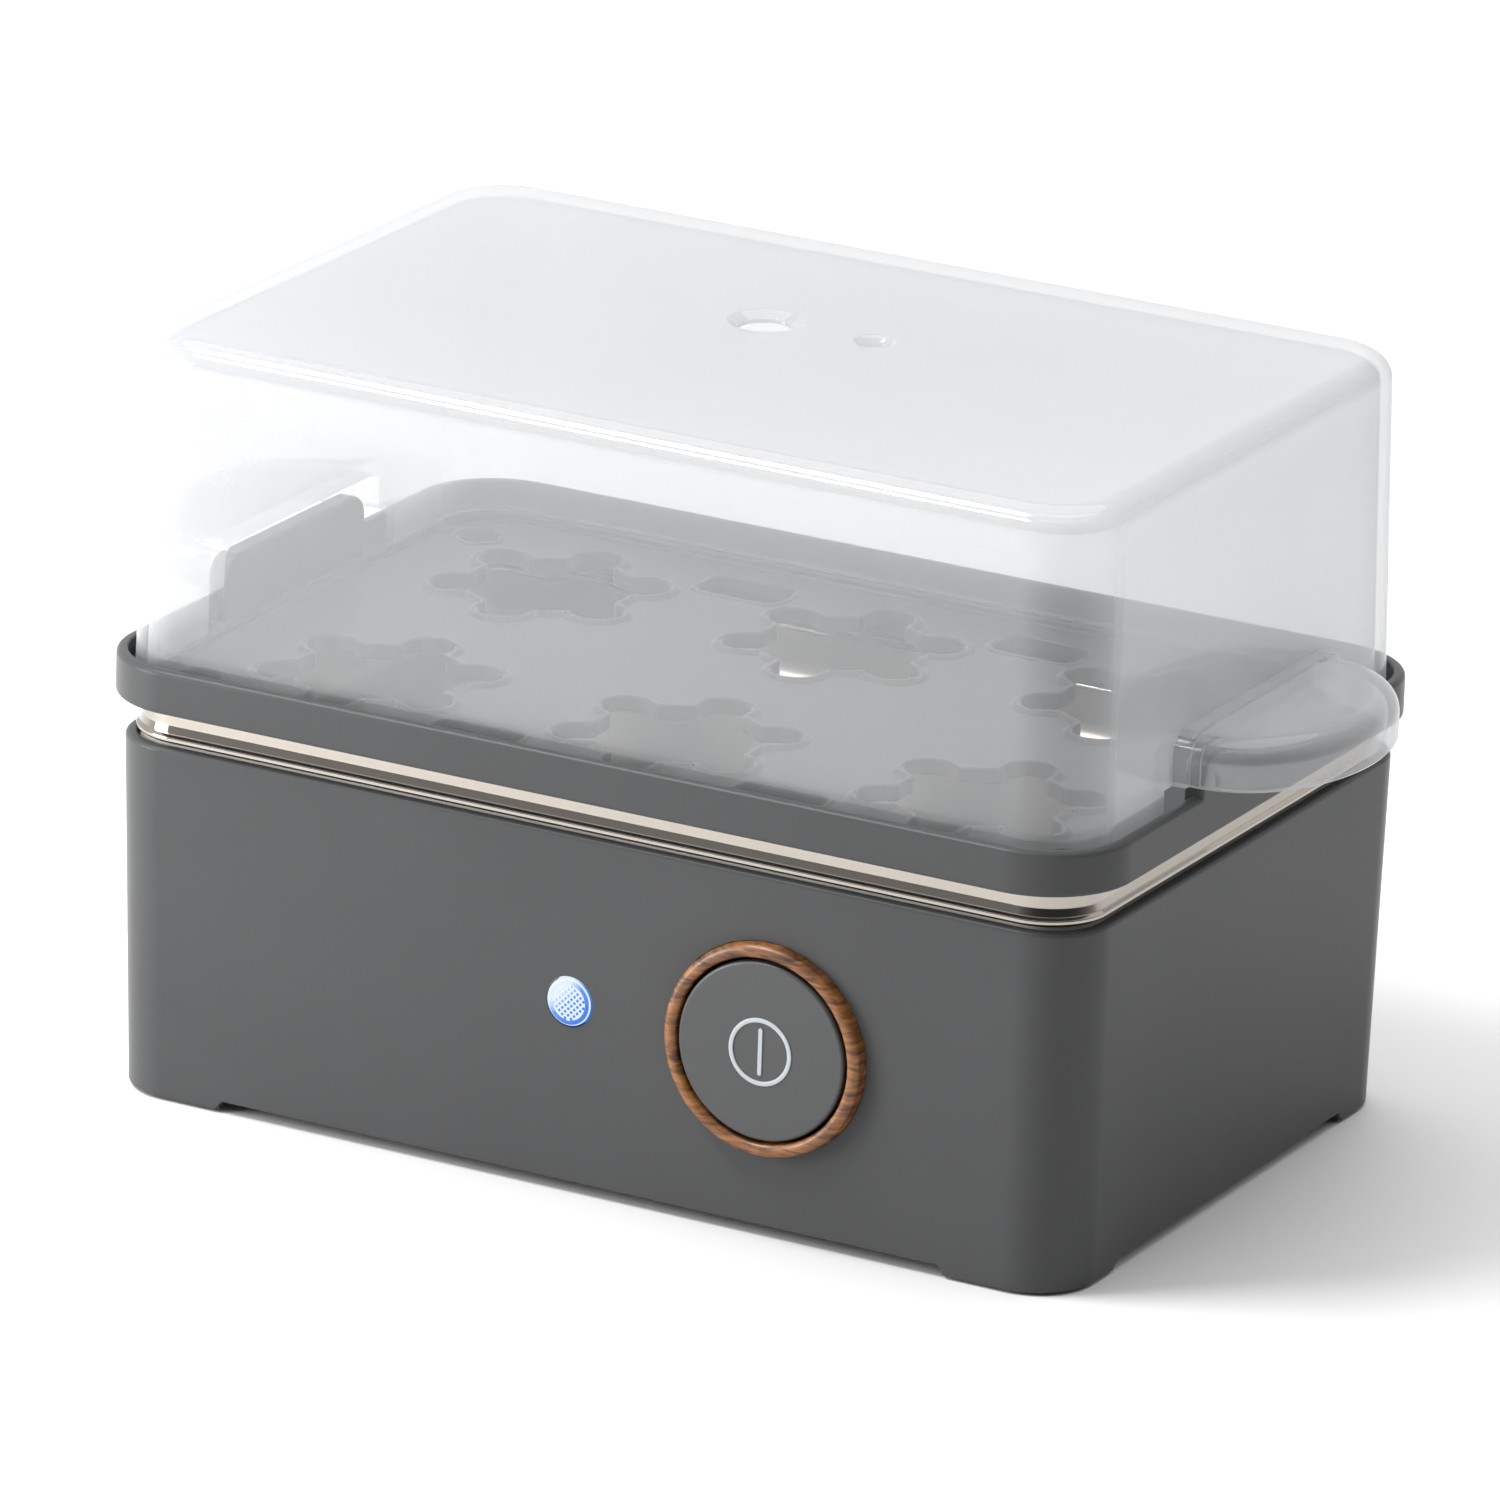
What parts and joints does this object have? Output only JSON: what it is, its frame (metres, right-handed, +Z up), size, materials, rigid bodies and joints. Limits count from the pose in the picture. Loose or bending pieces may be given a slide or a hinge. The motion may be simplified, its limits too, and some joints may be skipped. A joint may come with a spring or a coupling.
{
  "type": "egg cooker",
  "caption": "Box-shaped electric egg cooker: push button base, steel water pan, lift-out egg tray and translucent lid with two hollow handles.",
  "frame": {"origin": "on the standing surface, under the middle of the base", "axes": "+X along the long side to the right seen from the button side, +Y to the back, +Z up"},
  "size_m": [0.223, 0.1238, 0.13],
  "materials": {
    "charcoal_plastic": "satin moulded plastic",
    "cover_plastic": "fine moulded texture",
    "pad_rubber": "matt",
    "gasket_silicone": "matt silicone",
    "pan_steel": "polished",
    "zinc_steel": "zinc plated",
    "spreader_aluminium": "as cast",
    "element_sheath": "heat tinted",
    "ceramic": "glazed ceramic",
    "brass": "plain",
    "walnut_ring": "satin wood look",
    "button_plastic": "satin moulded plastic",
    "icon_print": "light inlay",
    "switch_plastic": "moulded",
    "plunger_plastic": "moulded",
    "lamp_lens": "clear moulded prism lens",
    "led_clear": "clear epoxy",
    "board_green": "solder resist",
    "block_plastic": "moulded",
    "wire_brown": "wire insulation",
    "wire_white": "glass braid insulation",
    "wire_blue": "wire insulation",
    "wire_earth": "green and yellow wire insulation",
    "wire_red": "wire insulation",
    "lid_plastic": "glossy, slightly milky translucent plastic"
  },
  "bodies": {
    "base": {"housing": "charcoal_plastic", "bottom_cover": "cover_plastic", "foot_pads": "pad_rubber", "cover_screws": "zinc_steel", "pan_gasket": "gasket_silicone", "heating_pan": "pan_steel", "pan_studs": "zinc_steel", "pan_washers": "zinc_steel", "pan_nuts": "zinc_steel", "heat_spreader": "spreader_aluminium", "heating_element": "element_sheath", "element_terminals": "ceramic", "thermostat": "ceramic", "thermostat_strap": "zinc_steel", "heater_screws": "zinc_steel", "thermal_fuse": "ceramic", "fuse_clip": "zinc_steel", "earth_tag": "brass", "earth_nut": "zinc_steel", "button_bezel": "walnut_ring", "button_spring": "zinc_steel", "switch_body": "switch_plastic", "switch_terminals": "brass", "switch_bracket": "zinc_steel", "bracket_screws": "zinc_steel", "indicator_lens": "lamp_lens", "indicator_led": "led_clear", "led_board": "board_green", "led_resistor": "ceramic", "board_screws": "zinc_steel", "terminal_block": "block_plastic", "terminal_screws": "zinc_steel", "cord_gland": "pad_rubber", "cord_clamp": "switch_plastic", "clamp_screws": "zinc_steel", "live_wire": "wire_brown", "switched_wire": "wire_brown", "fuse_wire": "wire_white", "thermostat_wire": "wire_white", "neutral_wire": "wire_blue", "earth_wire": "wire_earth", "lamp_wires": "wire_red"},
    "tray": {"egg_tray": "charcoal_plastic"},
    "lid": {"lid": "lid_plastic"},
    "button": {"power_button": "button_plastic", "power_icon": "icon_print", "switch_plunger": "plunger_plastic"}
  },
  "joints": [
    {"name": "tray_lift", "type": "slide", "parent": "base", "child": "tray", "axis": [0, 0, 1], "range_m": [0, 0.04]},
    {"name": "lid_lift", "type": "slide", "parent": "tray", "child": "lid", "axis": [0, 0, 1], "range_m": [0, 0.07]},
    {"name": "button_press", "type": "slide", "parent": "base", "child": "button", "axis": [0, 1, 0], "range_m": [0, 0.0025], "stiffness_N_per_m": 600, "springref_m": -0.003, "deforming": ["button_spring"]}
  ]
}
